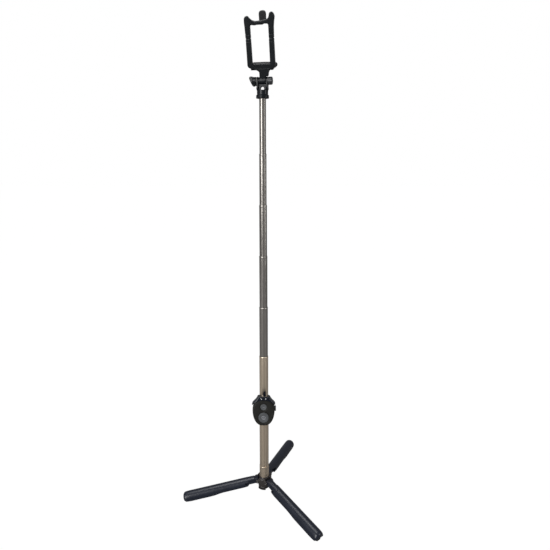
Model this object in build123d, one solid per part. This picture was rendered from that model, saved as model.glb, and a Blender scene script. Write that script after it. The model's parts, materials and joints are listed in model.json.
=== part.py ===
from build123d import *
import math
import os

# ---------------------------------------------------------------------------
# Telescopic selfie stick that stands on three fold-out legs.
# Millimetres, +Z up.  The model is built about the mast axis, with z = 0 at
# the crossing of the leg lines, and is moved at the end so that the origin is
# the centre of its footprint, on the floor.
# ---------------------------------------------------------------------------

# tripod
LEG_AZ = {"left": 189.1, "front": 309.1, "back": 69.1}   # degrees from +X
LEG_SLOPE = 8.4          # fall of an open leg, degrees
PIN_R = 11.0             # hinge pin distance from the mast axis
PIN_Z = 1.5
LEG_TIP = 109.5          # pin to the end of the leg
LEG_HALF = 7.8           # half width of the leg body
NECK_HALF = 4.5          # half width of the leg where it enters the hub
NECK_WIDE = 6.5          # half width of the flat-sided neck
CROWN_H = 5.3            # crown height above the pin
FLOOR_Z = -21.3
FOLD_DEG = 90.0 - LEG_SLOPE

# hub
HUB_R = 10.6
HUB_TOP = 6.3
HUB_BOT = -10.9
SLOT_HALF = 4.75

# mast: outer radius falls by TUBE_STEP from one tube to the next
TUBE_R = 6.51
TUBE_STEP = 0.41
TUBE_WALL = 0.25
KEY_R = 1.6              # key groove radius on the outermost tube
KEY_DEPTH = 0.6
KEY_AZ = 282.0
TOPS = [133.0, 199.6, 270.4, 340.2, 405.9, 468.2, 539.0]   # top end of each tube
TUBE_1_BOT = -9.3
OVERLAP = 12.5
CRIMP = 3.0

# head and phone holder
PIVOT_Z = 551.0
HOLD_YAW = 9.0           # turn of the tilt axis about the mast
HOLD_TILT = 19.0         # lean of the holder from upright
WIN_BOT = 18.9           # window, measured from the tilt axis
WIN_TOP = 59.3
POST_TOP = 44.8           # top of the lower jaw's posts
SLEEVE_BOT = 45.6         # foot of the upper jaw's sleeves
POST_U = 13.2            # post centre lines
JAW_HALF = 16.0

# remote
REM_Y = -18.5
REM_Z = 124.9
REM_LEAN = 14.0
REM_HALF_T = 5.0
BTN_SMALL_L = 7.1
BTN_LARGE_L = -7.3
BTN_SMALL_R = 4.3
BTN_LARGE_R = 6.85

parts = {}


def cyl(r, z0, z1, x=0.0, y=0.0):
    return Pos(x, y, (z0 + z1) / 2) * Cylinder(r, z1 - z0)


def box(x0, x1, y0, y1, z0, z1):
    return Pos((x0 + x1) / 2, (y0 + y1) / 2, (z0 + z1) / 2) * Box(x1 - x0, y1 - y0, z1 - z0)


def cyl_x(r, x0, x1, y=0.0, z=0.0):
    return Pos((x0 + x1) / 2, y, z) * Rot(0, 90, 0) * Cylinder(r, x1 - x0)


def cyl_y(r, y0, y1, x=0.0, z=0.0):
    return Pos(x, (y0 + y1) / 2, z) * Rot(90, 0, 0) * Cylinder(r, y1 - y0)


def ring(ro, ri, z0, z1):
    return cyl(ro, z0, z1) - cyl(ri, z0 - 1, z1 + 1)


def one(s):
    """The solids of a shape as one clean compound or solid."""
    sol = s.solids()
    return sol[0] if len(sol) == 1 else Compound(children=list(sol))


# ---------------------------------------------------------------------------
# mast tubes
# ---------------------------------------------------------------------------
KEY_C = TUBE_R + KEY_R - KEY_DEPTH


def outline(d):
    """Keyed tube outline, d inside the outermost tube's surface."""
    k = math.radians(KEY_AZ)
    return Circle(TUBE_R - d) - Pos(KEY_C * math.cos(k), KEY_C * math.sin(k)) * Circle(KEY_R + d)


def keyed(d, z0, z1):
    return extrude(Pos(0, 0, z0) * outline(d), z1 - z0)


def keyed_ring(d_out, d_in, z0, z1):
    return extrude(Pos(0, 0, z0) * (outline(d_out) - outline(d_in)), z1 - z0)


tube_bot = [TUBE_1_BOT] + [TOPS[i] - OVERLAP for i in range(6)]
for i in range(7):
    d = i * TUBE_STEP
    z0, z1 = tube_bot[i], TOPS[i]
    if i < 6:
        # plain wall, then a crimped top that closes on the next tube
        t = keyed_ring(d, d + TUBE_WALL, z0, z1 - CRIMP)
        t += keyed_ring(d, d + TUBE_STEP - 0.04, z1 - CRIMP, z1 - 0.5)
        t += keyed_ring(d + 0.14, d + TUBE_STEP - 0.04, z1 - 0.5, z1)
    else:
        t = keyed_ring(d, d + TUBE_WALL, z0, z1)
    parts["tube_%d" % (i + 1)] = one(t)
for i in range(1, 7):
    # friction bush on the foot of the inner tube
    d = i * TUBE_STEP
    z1 = TOPS[i - 1] - CRIMP - 0.2
    parts["tube_%d_bush" % (i + 1)] = one(keyed_ring(d - TUBE_STEP + TUBE_WALL + 0.03, d, z1 - 8.0, z1))
# stop ring on the foot of the outermost tube
parts["tube_1_stop_ring"] = one(cyl(6.8, TUBE_1_BOT - 1.2, TUBE_1_BOT) - keyed(TUBE_WALL, TUBE_1_BOT - 2, TUBE_1_BOT + 1))

# ---------------------------------------------------------------------------
# hub
# ---------------------------------------------------------------------------
FERRULE_TOP = 25.2
hub = cyl(HUB_R, HUB_BOT + 1.4, HUB_TOP)
hub = fillet(hub.edges().group_by(Axis.Z)[-1], 0.9)
hub += cyl(8.3, HUB_TOP - 1, HUB_TOP + 1.7)
for az in LEG_AZ.values():
    r = Rot(0, 0, az)
    ear = box(6.0, PIN_R, -6.9, 6.9, PIN_Z - 2.6, PIN_Z + 2.6) + cyl_y(2.6, -6.9, 6.9, PIN_R, PIN_Z)
    hub += r * ear
for az in LEG_AZ.values():
    r = Rot(0, 0, az)
    hub -= r * box(7.5, 20, -SLOT_HALF, SLOT_HALF, HUB_BOT - 1, HUB_TOP + 3)
    hub -= r * cyl_y(0.98, -9, 9, PIN_R, PIN_Z)
hub -= cyl(6.86, HUB_BOT - 1, HUB_TOP + 3)
# screw pilots for the bottom ring, midway between the slots
for az in LEG_AZ.values():
    hub -= Rot(0, 0, az + 60) * cyl(0.72, HUB_BOT - 1, HUB_BOT + 6.4, 8.6, 0)
parts["hub_body"] = one(hub)

bottom = cyl(HUB_R, HUB_BOT, HUB_BOT + 1.4)
bottom = fillet(bottom.edges().group_by(Axis.Z)[0], 0.5)
for az in LEG_AZ.values():
    r = Rot(0, 0, az)
    bottom -= r * box(7.5, 20, -SLOT_HALF, SLOT_HALF, HUB_BOT - 1, HUB_TOP)
    bottom -= Rot(0, 0, az + 60) * cyl(0.8, HUB_BOT - 1, HUB_BOT + 3, 8.6, 0)
    bottom -= Rot(0, 0, az + 60) * cyl(1.32, HUB_BOT - 1, HUB_BOT + 0.75, 8.6, 0)
bottom -= cyl(7.05, HUB_BOT - 1, HUB_BOT + 3)
parts["hub_bottom_ring"] = one(bottom)
scr = None
for az in LEG_AZ.values():
    s = cyl(0.7, HUB_BOT + 0.7, HUB_BOT + 6.0, 8.6, 0) + cyl(1.25, HUB_BOT + 0.1, HUB_BOT + 0.7, 8.6, 0)
    s -= Pos(8.6, 0, HUB_BOT) * Box(1.5, 0.3, 0.7)
    s = Rot(0, 0, az + 60) * s
    scr = s if scr is None else scr + s
parts["hub_screws"] = one(scr)

fer = ring(6.86, 6.56, TUBE_1_BOT + 0.1, FERRULE_TOP - 0.5)
fer = extrude(Pos(0, 0, TUBE_1_BOT + 0.2) * (Circle(6.86) - outline(-0.05)), FERRULE_TOP - 0.5 - TUBE_1_BOT - 0.2)
fer += extrude(Pos(0, 0, FERRULE_TOP - 0.5) * (Circle(6.74) - outline(-0.05)), 0.5)
parts["base_ferrule"] = one(fer)

pins = None
for az in LEG_AZ.values():
    p = Rot(0, 0, az) * cyl_y(0.98, -6.9, 6.9, PIN_R, PIN_Z)
    pins = p if pins is None else pins + p
parts["leg_hinge_pins"] = one(pins)

# ---------------------------------------------------------------------------
# legs: local x along the leg from the pin, y across, z up off the leg
# ---------------------------------------------------------------------------
ARC_C = CROWN_H - LEG_HALF      # centre height of the half-round crown
NECK_BOT = -3.3
ROOT_BOT = -4.0
BELLY_BOT = -5.8
SHELL_T = 1.6


def leg_section(half, top, lo):
    """Half-round crown on straight sides, as a sketch in y, z."""
    c = top - half
    s = Circle(half)
    s = Pos(0, c) * s + Pos(0, (c + lo) / 2) * Rectangle(2 * half, c - lo)
    return s


def leg_bar(half, top, lo, x0, x1):
    pl = Plane(origin=(x0, 0, 0), x_dir=(0, 1, 0), z_dir=(1, 0, 0))
    return extrude(pl * leg_section(half, top, lo), x1 - x0)


def side_prism(pts, half):
    """Polygon in x, z pushed out to both sides."""
    pl = Plane(origin=(0, half, 0), x_dir=(1, 0, 0), z_dir=(0, -1, 0))
    return extrude(pl * make_face(Polyline(*pts, close=True)), 2 * half)


lower_line = [(14.8, ROOT_BOT), (50, ROOT_BOT), (56, ROOT_BOT - 0.35), (64, BELLY_BOT + 0.25), (70, BELLY_BOT),
              (98, BELLY_BOT), (105, BELLY_BOT + 0.5), (LEG_TIP - 1.2, BELLY_BOT + 2.2), (LEG_TIP, BELLY_BOT + 4.4)]
upper_line = [(LEG_TIP, CROWN_H - 3.2), (LEG_TIP - 0.8, CROWN_H - 1.4), (LEG_TIP - 3.0, CROWN_H - 0.3), (LEG_TIP - 6.0, CROWN_H + 0.01),
              (4.0, CROWN_H + 0.01), (1.6, 4.2), (0.0, 3.25)]
side = [(0.0, -3.25), (5.0, NECK_BOT), (14.0, NECK_BOT)] + lower_line + upper_line
env = side_prism(side, 9) + cyl_y(3.25, -9, 9)
bar = leg_bar(LEG_HALF, CROWN_H, -9, -4, LEG_TIP + 1)
# rounded end in plan
plan = (Pos(LEG_TIP / 2 - 6, 0) * Rectangle(LEG_TIP - 0.0, 20) + Pos(LEG_TIP - 6.5, 0) * Rectangle(13, 2 * (LEG_HALF - 4.5))
        + Pos(LEG_TIP - 4.6, LEG_HALF - 4.6) * Circle(4.6) + Pos(LEG_TIP - 4.6, -LEG_HALF + 4.6) * Circle(4.6)
        + Pos(LEG_TIP - 10, 0) * Rectangle(10.8, 20))
plan_p = extrude(Pos(0, 0, -12) * plan, 24)
leg_solid = bar & env & plan_p
# flat-sided neck: the body is cut back on an S-shaped line
s_cut = [(-6, -9), (33.0, -9), (32.4, -4), (30.6, -1.5), (27.6, 0.4), (24.8, 1.8), (22.4, 3.4), (21.2, 5.0), (21.0, 9), (-6, 9)]
root_cut = [(-6, -9), (13.2, -9), (13.2, 9), (-6, 9)]
for half, pts in ((NECK_WIDE, s_cut), (NECK_HALF, root_cut)):
    for y0 in (half, -half - 10):
        pl = Plane(origin=(0, y0, 0), x_dir=(1, 0, 0), z_dir=(0, -1, 0))
        leg_solid -= extrude(pl * make_face(Polyline(*pts, close=True)), -10)
leg_solid -= cyl_y(1.03, -10, 10)
# hollow, closed from below by a cover
cav_side = [(33, -12), (104, -12), (104, CROWN_H - 2.6), (100, CROWN_H - SHELL_T), (36, CROWN_H - SHELL_T), (33, CROWN_H - 3.2)]
cavity = leg_bar(LEG_HALF - SHELL_T, CROWN_H - SHELL_T, -12, 33, 104) & side_prism(cav_side, 9)
cover_top = [(33, ROOT_BOT + 1.5), (50, ROOT_BOT + 1.5), (56, ROOT_BOT + 1.15), (64, BELLY_BOT + 1.75), (70, BELLY_BOT + 1.5), (98, BELLY_BOT + 1.5), (104, BELLY_BOT + 1.9)]
cover_env = side_prism([(33, -12), (104, -12)] + cover_top[::-1], 9)
cover = (leg_solid & cavity) & cover_env
shell = leg_solid - cavity
for xs, zb in ((42.0, ROOT_BOT), (90.0, BELLY_BOT)):
    post = cyl(2.3, zb + 1.5, CROWN_H - 1.0, xs, 0)
    shell += post - cyl(0.92, zb, CROWN_H - 3.0, xs, 0)
    cover -= cyl(1.0, -12, 0, xs, 0)
    cover -= cyl(1.75, -12, zb + 0.8, xs, 0)
# foot recess is a plain seat on the leg's underside
cover = one(cover)
shell = one(shell)
legscr = None
for xs, zb in ((42.0, ROOT_BOT), (90.0, BELLY_BOT)):
    s = cyl(0.9, zb + 0.8, zb + 6.0, xs, 0) + cyl(1.65, zb + 0.15, zb + 0.8, xs, 0)
    s -= Pos(xs, 0, zb + 0.15) * Box(2.0, 0.35, 0.6)
    s -= Pos(xs, 0, zb + 0.15) * Box(0.35, 2.0, 0.6)
    legscr = s if legscr is None else legscr + s


def leg_world(az):
    a = math.radians(LEG_SLOPE)
    c, s = math.cos(math.radians(az)), math.sin(math.radians(az))
    o = (PIN_R * c, PIN_R * s, PIN_Z)
    xd = (c * math.cos(a), s * math.cos(a), -math.sin(a))
    zd = (c * math.sin(a), s * math.sin(a), math.cos(a))
    return Plane(origin=o, x_dir=xd, z_dir=zd)


# rubber foot: flat on the floor, seated on the leg's underside
a = math.radians(LEG_SLOPE)


def floor_h(x):
    """Height of the floor in leg coordinates at x."""
    return (FLOOR_Z - PIN_Z + x * math.sin(a)) / math.cos(a)


FOOT_X0, FOOT_X1, FOOT_HALF = 98.0, 107.6, 3.5
foot_side = [(FOOT_X0, -5.0), (FOOT_X0, floor_h(FOOT_X0) + 0.6), (FOOT_X0 + 0.6, floor_h(FOOT_X0 + 0.6)),
             (FOOT_X1 - 0.6, floor_h(FOOT_X1 - 0.6)), (FOOT_X1, floor_h(FOOT_X1) + 0.6), (FOOT_X1, -3.6)]
foot = side_prism(foot_side, FOOT_HALF)
foot = foot - leg_solid - cover

for nm, az in LEG_AZ.items():
    loc = leg_world(az).location
    parts["leg_%s_shell" % nm] = one(loc * shell)
    parts["leg_%s_inner_cover" % nm] = one(loc * cover)
    parts["leg_%s_foot" % nm] = one(loc * foot)
    parts["leg_%s_screws" % nm] = one(loc * legscr)

# ---------------------------------------------------------------------------
# mast head: collar and fork; local x along the tilt axis, z up, origin on it
# ---------------------------------------------------------------------------
yaw = math.radians(HOLD_YAW)
head_pl = Plane(origin=(0, 0, PIVOT_Z), x_dir=(math.cos(yaw), -math.sin(yaw), 0), z_dir=(0, 0, 1))
head = cyl(7.7, -19.5, -15.8)
head = fillet(head.edges().group_by(Axis.Z)[0] + head.edges().group_by(Axis.Z)[-1], 0.6)
fork = cyl(6.65, -16.5, -8.0) + (box(-6.65, 6.65, -4.4, 4.4, -9.0, 0) + cyl_x(4.4, -6.65, 6.65))
# gap between the ears with a rounded floor
gap = box(-4.6, 4.6, -10, 10, -8.2, 6)
gap += box(-2.6, 2.6, -10, 10, -10.6, -8) + cyl_y(2.4, -10, 10, -2.2, -8.2) + cyl_y(2.4, -10, 10, 2.2, -8.2)
head = head + fork - gap
head -= cyl_x(1.95, -10, 10)
h7 = 6 * TUBE_STEP
tube7_local = Rot(0, 0, HOLD_YAW) * keyed(h7, -25, PIVOT_Z)
head -= Pos(0, 0, -25) * Rot(0, 0, HOLD_YAW) * keyed(h7, 0, 25 + (TOPS[6] - PIVOT_Z))
head -= cyl_x(0.8, -9, 9, 0, -13.2)
parts["mast_head"] = one(head_pl.location * head)
# rolled cross pin that holds the head on the last tube
hp = cyl_x(0.78, -6.5, 6.5, 0, -13.2) - cyl_x(0.45, -7, 7, 0, -13.2)
parts["head_cross_pin"] = one(head_pl.location * hp)
t7 = parts["tube_7"] - head_pl.location * cyl_x(0.8, -9, 9, 0, -13.2)
parts["tube_7"] = one(t7)

bolt = cyl_x(1.9, -12.2, 7.2) + cyl_x(4.5, 6.85, 12.2)
bolt = fillet(bolt.edges().filter_by(GeomType.CIRCLE).group_by(Axis.X)[-1], 1.9)
for k in range(12):
    t = math.radians(30 * k)
    bolt -= cyl_x(0.35, 6.8, 10.2, 4.65 * math.cos(t), 4.65 * math.sin(t))
parts["tilt_bolt"] = one(head_pl.location * bolt)
wash = None
for x0, x1 in ((-6.85, -6.65), (6.65, 6.85)):
    w = cyl_x(3.9, x0, x1) - cyl_x(1.95, x0 - 1, x1 + 1)
    wash = w if wash is None else wash + w
parts["tilt_washers"] = one(head_pl.location * wash)

nut = cyl_x(4.3, -11.6, -6.85)
nut = fillet(nut.edges().filter_by(GeomType.CIRCLE).group_by(Axis.X)[0], 0.8)
wing_pts = [(-6.9, -4.6), (-9.5, -6.2), (-11.6, -5.9), (-13.6, -2.5), (-15.8, 2.2), (-15.9, 3.8), (-14.6, 4.9), (-12.2, 4.9), (-10.6, 3.6), (-9.2, 0.2), (-6.9, 1.0)]
wing_pl = Plane(origin=(0, 2.2, 0), x_dir=(1, 0, 0), z_dir=(0, -1, 0))
wing = extrude(wing_pl * make_face(Polyline(*wing_pts, close=True)), 4.4)
nut = nut + wing - cyl_x(1.95, -12.4, -6)
parts["wing_nut"] = one(head_pl.location * nut)

# ---------------------------------------------------------------------------
# phone holder: local x across, y away from the remote side, z along the posts
# ---------------------------------------------------------------------------
tl = math.radians(HOLD_TILT)
vh = (math.sin(yaw), math.cos(yaw), 0.0)
hold_w = (-math.sin(tl) * vh[0], -math.sin(tl) * vh[1], math.cos(tl))
hold_pl = Plane(origin=(0, 0, PIVOT_Z), x_dir=(math.cos(yaw), -math.sin(yaw), 0), z_dir=hold_w)


def front_prism(face_pts, y0, y1, spline=False):
    pl = Plane(origin=(0, y1, 0), x_dir=(1, 0, 0), z_dir=(0, -1, 0))
    return extrude(pl * make_face(Polyline(*face_pts, close=True)), y1 - y0)


def mirror_pts(half):
    """Close a right-hand outline (x >= 0) with its mirror image."""
    return half + [(-x, z) for x, z in reversed(half) if x > 1e-6]


JY0, JY1 = -3.0, 2.8
# lower jaw
LJ_OUT = [(0, WIN_BOT), (9.4, WIN_BOT), (10.2, WIN_BOT + 0.5), (10.4, WIN_BOT + 1.6), (10.4, POST_TOP), (16.0, POST_TOP), (16.2, 22), (16.3, 17.0), (15.4, 15.2),
          (13.6, 13.9), (11.2, 12.9), (9.4, 11.4), (8.2, 9.4), (7.7, 7.2), (7.6, 5.2), (4.3, 5.0), (4.3, 3.0), (-2.2, 3.0), (-1.9, 6.0), (-2.2, 8.4), (-3.4, 10.4),
          (-5.6, 11.8), (-9.0, 12.8), (-13.4, 14.0), (-15.4, 15.2), (-16.3, 17.0), (-16.2, 22), (-16.0, POST_TOP), (-10.4, POST_TOP), (-10.4, WIN_BOT + 1.6),
          (-10.2, WIN_BOT + 0.5), (-9.4, WIN_BOT)]
lj = front_prism(LJ_OUT, JY0, JY1)
lj += cyl_x(3.9, -4.35, 4.35)
lj += box(-4.2, 4.2, -2.9, 2.7, 0, 5.2)
lj += box(-4.3, -1.2, -2.4, 2.4, 3.0, 6.6)
# web under the lower claw
web_pl = Plane(origin=(-3.6, 0, 0), x_dir=(0, 1, 0), z_dir=(1, 0, 0))
web = extrude(web_pl * make_face(Polyline((1.0, 4.2), (3.6, 4.6), (9.0, 8.0), (19.0, 11.0), (19.0, 12.2), (1.0, 12.2), close=True)), 7.2)
lj += web
# lower claw: floor and upturned lip
fl = box(-13.2, 13.2, 1.0, 18.0, 11.4, 13.6)
lip_half = [(0, 17.5), (12.6, 17.3), (14.8, 16.5), (15.8, 14.8), (15.6, 13.0), (14.0, 11.6), (11.0, 11.0), (0, 11.0)]
lip = front_prism(mirror_pts(lip_half), 16.6, 20.0)
lj = lj + fl + lip
lj -= cyl_x(1.95, -10, 10)
for sx in (-1, 1):
    lj -= cyl(2.5, 15.4, 60, sx * POST_U, -0.1)
parts["lower_jaw"] = one(hold_pl.location * lj)
lpad = box(-12.4, 12.4, 15.9, 16.6, 13.6, 17.0) + box(-12.4, 12.4, 3.6, 15.9, 13.6, 14.3)
for k in range(13):
    lpad -= cyl(0.28, 13.8, 18, -11.4 + 1.9 * k, 15.85)
parts["lower_jaw_pad"] = one(hold_pl.location * lpad)

GT_TOP = 50.8
caps = None
for sx, nm in ((-1, "left"), (1, "right")):
    g = cyl(2.45, 15.4, GT_TOP, sx * POST_U, -0.1) - cyl(2.1, 15.9, 60, sx * POST_U, -0.1)
    parts["post_tube_%s" % nm] = one(hold_pl.location * g)
    c = cyl(2.08, GT_TOP - 2.4, GT_TOP - 0.1, sx * POST_U, -0.1) - cyl(1.13, 0, 80, sx * POST_U, -0.1)
    caps = c if caps is None else caps + c
parts["post_bushes"] = one(hold_pl.location * caps)

# upper jaw
UJ_OUT = [(0, WIN_TOP - 0.4), (4.0, WIN_TOP), (9.0, WIN_TOP), (10.2, WIN_TOP - 0.6), (10.4, WIN_TOP - 2.0), (10.4, SLEEVE_BOT), (16.0, SLEEVE_BOT), (16.2, 56), (16.8, 61.5),
          (17.6, 64.5), (17.4, 66.8), (16.4, 69.0), (14.8, 70.4), (13.0, 70.4), (11.8, 69.0), (11.3, 66.5), (10.4, 64.6), (8.0, 63.6), (3.4, 62.7), (0, 62.3), (-5.0, 62.0),
          (-8.2, 62.9), (-10.8, 65.0), (-12.2, 66.8), (-13.6, 67.3), (-15.2, 66.8), (-16.4, 65.0), (-16.6, 61.5), (-16.3, 56), (-16.0, SLEEVE_BOT), (-10.4, SLEEVE_BOT),
          (-10.4, WIN_TOP - 2.4), (-10.0, WIN_TOP - 1.2), (-8.0, WIN_TOP - 1.0), (-5.0, 57.9), (-2.0, 58.4)]
uj = front_prism(UJ_OUT, JY0, JY1)
claw = box(-3.9, 3.9, 1.0, 22.0, 58.6, 60.9)
claw_half = [(0, 58.6), (4.0, 58.6), (4.1, 66.8), (3.7, 68.8), (2.4, 70.1), (0, 70.4)]
clip = front_prism(mirror_pts(claw_half), 22.0, 26.0)
uj = uj + claw + clip
for sx in (-1, 1):
    uj -= cyl(1.1, 40, 57.0, sx * POST_U, -0.1)
    uj -= cyl(2.5, 40, 51.2, sx * POST_U, -0.1)
parts["upper_jaw"] = one(hold_pl.location * uj)
upad = box(-3.3, 3.3, 21.3, 22.0, 60.9, 69.3) + box(-3.3, 3.3, 3.6, 22.0, 57.9, 58.6)
for k in range(5):
    upad -= cyl(0.3, 61.2, 72, -2.6 + 1.3 * k, 21.2)
parts["upper_jaw_pad"] = one(hold_pl.location * upad)
spr = {}
for sx, nm in ((-1, "left"), (1, "right")):
    r = cyl(1.1, 17.2, 57.0, sx * POST_U, -0.1) + cyl(1.2, 16.4, 17.4, sx * POST_U, -0.1)
    parts["slide_rod_%s" % nm] = one(hold_pl.location * r)
    s = cyl(2.0, 17.7, GT_TOP - 2.5, sx * POST_U, -0.1) - cyl(1.35, 10, 60, sx * POST_U, -0.1)
    spr[nm] = s
for nm in spr:
    parts["jaw_spring_%s" % nm] = one(hold_pl.location * spr[nm])

# ---------------------------------------------------------------------------
# remote and its cradle: local x across, y along the remote, z out of its face
# ---------------------------------------------------------------------------
ln = math.radians(REM_LEAN)
rem_pl = Plane(origin=(0, REM_Y, REM_Z), x_dir=(1, 0, 0), z_dir=(0, -math.cos(ln), math.sin(ln)))
EGG = [(0, -18.5), (5.2, -17.9), (9.2, -15.4), (12.0, -11.4), (13.9, -6.7), (14.9, -1.7), (15.2, 3.5), (14.8, 7.5), (13.4, 11.2),
       (10.9, 14.5), (7.6, 17.2), (3.8, 18.9), (0, 19.5)]
HOOD = [(0, 9.0), (15.9, 9.0), (16.4, 10.5), (15.7, 12.2), (14.2, 13.8), (12.7, 15.2), (10.9, 17.0), (9.5, 19.0), (8.5, 21.0), (7.8, 23.5), (7.4, 26.0), (0, 26.0)]


def egg(off):
    pts = []
    n = len(EGG)
    for i, (x, y) in enumerate(EGG):
        # push each point out along the local normal
        x0, y0 = EGG[i - 1] if i > 0 else (-EGG[1][0], EGG[1][1])
        x1, y1 = EGG[i + 1] if i < n - 1 else (-EGG[n - 2][0], EGG[n - 2][1])
        tx, ty = x1 - x0, y1 - y0
        L = math.hypot(tx, ty)
        pts.append((x + off * ty / L, y - off * tx / L))
    left = [(-x, y) for x, y in reversed(pts[1:-1])]
    return make_face(Spline(*(pts + left), periodic=True))


def egg_prism(off, z0, z1):
    return extrude(Pos(0, 0, z0) * egg(off), z1 - z0)


T = REM_HALF_T
WALL = 1.2
front = egg_prism(0, 0, T)
try:
    front = fillet(front.edges().group_by(Axis.Z)[-1], 1.8)
except Exception:
    front = chamfer(front.edges().group_by(Axis.Z)[-1], 1.2)
rear = egg_prism(0, -T, 0)
try:
    rear = fillet(rear.edges().group_by(Axis.Z)[0], 1.8)
except Exception:
    rear = chamfer(rear.edges().group_by(Axis.Z)[0], 1.2)
front -= egg_prism(-WALL, -1, T - WALL)
rear -= egg_prism(-WALL, -T + WALL, 1)
front -= cyl(BTN_SMALL_R + 0.15, 0, 9, 0, BTN_SMALL_L)
front -= cyl(BTN_LARGE_R + 0.15, 0, 9, 0, BTN_LARGE_L)
front -= cyl(0.62, 0, 9, 0, 13.4)
# slot for the side switch
SW_L0, SW_L1, SW_TRAVEL = 1.0, 8.0, 2.0
slot = box(13, 20, SW_L0 - 0.2, SW_L1 + SW_TRAVEL + 0.2, -1.5, 1.5)
front -= slot
rear -= slot
for x, y in ((0, -15.6), (0, 16.2)):
    rear += cyl(1.7, -T + 0.6, -0.75, x, y)
    rear -= cyl(0.75, -T - 1, -0.5, x, y)
    rear -= cyl(1.35, -T - 1, -T + 0.8, x, y)
parts["remote_front_shell"] = one(rem_pl.location * front)
parts["remote_rear_shell"] = one(rem_pl.location * rear)
rs = None
for x, y in ((0, -15.6), (0, 16.2)):
    s = cyl(0.72, -T + 0.8, -0.9, x, y) + cyl(1.3, -T + 0.2, -T + 0.8, x, y)
    s -= Pos(x, y, -T + 0.2) * Box(1.7, 0.3, 0.5)
    s -= Pos(x, y, -T + 0.2) * Box(0.3, 1.7, 0.5)
    rs = s if rs is None else rs + s
parts["remote_screws"] = one(rem_pl.location * rs)
board = egg_prism(-WALL - 0.6, -0.6, 0.4) - box(12.2, 20, SW_L0 - 1, SW_L1 + SW_TRAVEL + 1, -2, 2)
parts["remote_board"] = one(rem_pl.location * board)
cell = cyl(10.0, -3.7, -0.95, 0, -2.0)
cell = fillet(cell.edges().group_by(Axis.Z)[-1], 0.5)
parts["remote_coin_cell"] = one(rem_pl.location * cell)
clipb = box(-10.8, -10.2, -4.0, 0.0, -3.6, -0.6) + box(10.2, 10.8, -4.0, 0.0, -3.6, -0.6) + box(-1.5, 1.5, -4.0, 0.0, -0.9, -0.6)
parts["remote_battery_contacts"] = one(rem_pl.location * clipb)
domes = cyl(2.3, 0.4, 0.85, 0, BTN_SMALL_L) + cyl(2.3, 0.4, 0.85, 0, BTN_LARGE_L)
parts["remote_dome_switches"] = one(rem_pl.location * domes)
sb = cyl(BTN_SMALL_R, 3.0, T + 0.7, 0, BTN_SMALL_L)
sb = fillet(sb.edges().group_by(Axis.Z)[-1], 0.5)
sb += cyl(BTN_SMALL_R + 0.6, 2.5, 3.3, 0, BTN_SMALL_L) + cyl(1.5, 1.45, 2.6, 0, BTN_SMALL_L)
parts["remote_small_button"] = one(rem_pl.location * sb)
lb = cyl(BTN_LARGE_R, 3.0, T + 0.7, 0, BTN_LARGE_L)
lb = fillet(lb.edges().group_by(Axis.Z)[-1], 0.5)
lb += cyl(BTN_LARGE_R + 0.6, 2.5, 3.3, 0, BTN_LARGE_L) + cyl(1.5, 1.45, 2.6, 0, BTN_LARGE_L)
parts["remote_large_button"] = one(rem_pl.location * lb)
led = cyl(0.6, 1.2, T, 0, 13.4)
parts["remote_indicator_lens"] = one(rem_pl.location * led)
sw = box(13.2, 14.2, SW_L0 - 0.0, SW_L1, -1.3, 1.3) + box(14.0, 16.5, SW_L0, SW_L1, -1.3, 1.3)
for k in range(4):
    sw -= Pos(16.6, SW_L0 + 1.25 + 1.5 * k, 0) * Box(0.6, 0.5, 4)
parts["remote_power_switch"] = one(rem_pl.location * sw)

# cradle: collar on the outermost tube and a hood over the remote's narrow end
CR = 1.15
hood = extrude(Pos(0, 0, -T - CR - 0.2) * make_face(Polyline(*mirror_pts(HOOD), close=True)), 2 * T + 2 * CR + 0.2)
try:
    hood = fillet(hood.edges().group_by(Axis.Z)[-1] + hood.edges().group_by(Axis.Z)[0], 1.6)
except Exception:
    pass
keep = Pos(0, 39.5, 0) * Box(60, 60, 40)
arc_R = (15.6 ** 2 + 6.2 ** 2) / (2 * 6.2)
under = cyl(arc_R, -12, 12, 0, 16.5 - arc_R)
hood = (hood & keep) - under
hood_w = rem_pl.location * hood
web_c = box(-6.0, 6.0, -11.5, -4.5, 126.5, 140.0)
cradle = cyl(7.9, 126.0, 141.0) + web_c
cradle = cradle + hood_w
cavity_r = rem_pl.location * (egg_prism(0.25, -T - 0.2, T + 0.15) + (Pos(0, -10, 0) * Box(40, 60, 2 * T + 0.35) & egg_prism(0.25, -T - 0.2, T + 0.15)))
cradle -= cavity_r
below = rem_pl.location * (Pos(0, -15.5, 0) * Box(34, 50, 2 * T + 0.35))
cradle -= below
cradle -= cyl(6.53, 100, 133.2) + cyl(6.75, 133.0, 170)
cradle -= cyl(8.2, 141.0, 175)
parts["remote_cradle"] = one(cradle)

# ---------------------------------------------------------------------------
# move the origin to the centre of the footprint on the floor, and write
# ---------------------------------------------------------------------------
lo = [1e9] * 3
hi = [-1e9] * 3
for s in parts.values():
    bb = s.bounding_box()
    for k, (p, q) in enumerate(zip((bb.min.X, bb.min.Y, bb.min.Z), (bb.max.X, bb.max.Y, bb.max.Z))):
        lo[k] = min(lo[k], p)
        hi[k] = max(hi[k], q)
shift = (-(lo[0] + hi[0]) / 2, -(lo[1] + hi[1]) / 2, -lo[2])
os.makedirs("parts", exist_ok=True)
for name, s in parts.items():
    s = Pos(*shift) * s
    s.label = name
    export_step(s, os.path.join("parts", name + ".step"))
print("nodes", len(parts))
print("shift %.4f %.4f %.4f" % shift)
print("box", [round(v, 3) for v in lo], [round(v, 3) for v in hi])
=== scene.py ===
import json
import math

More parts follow.
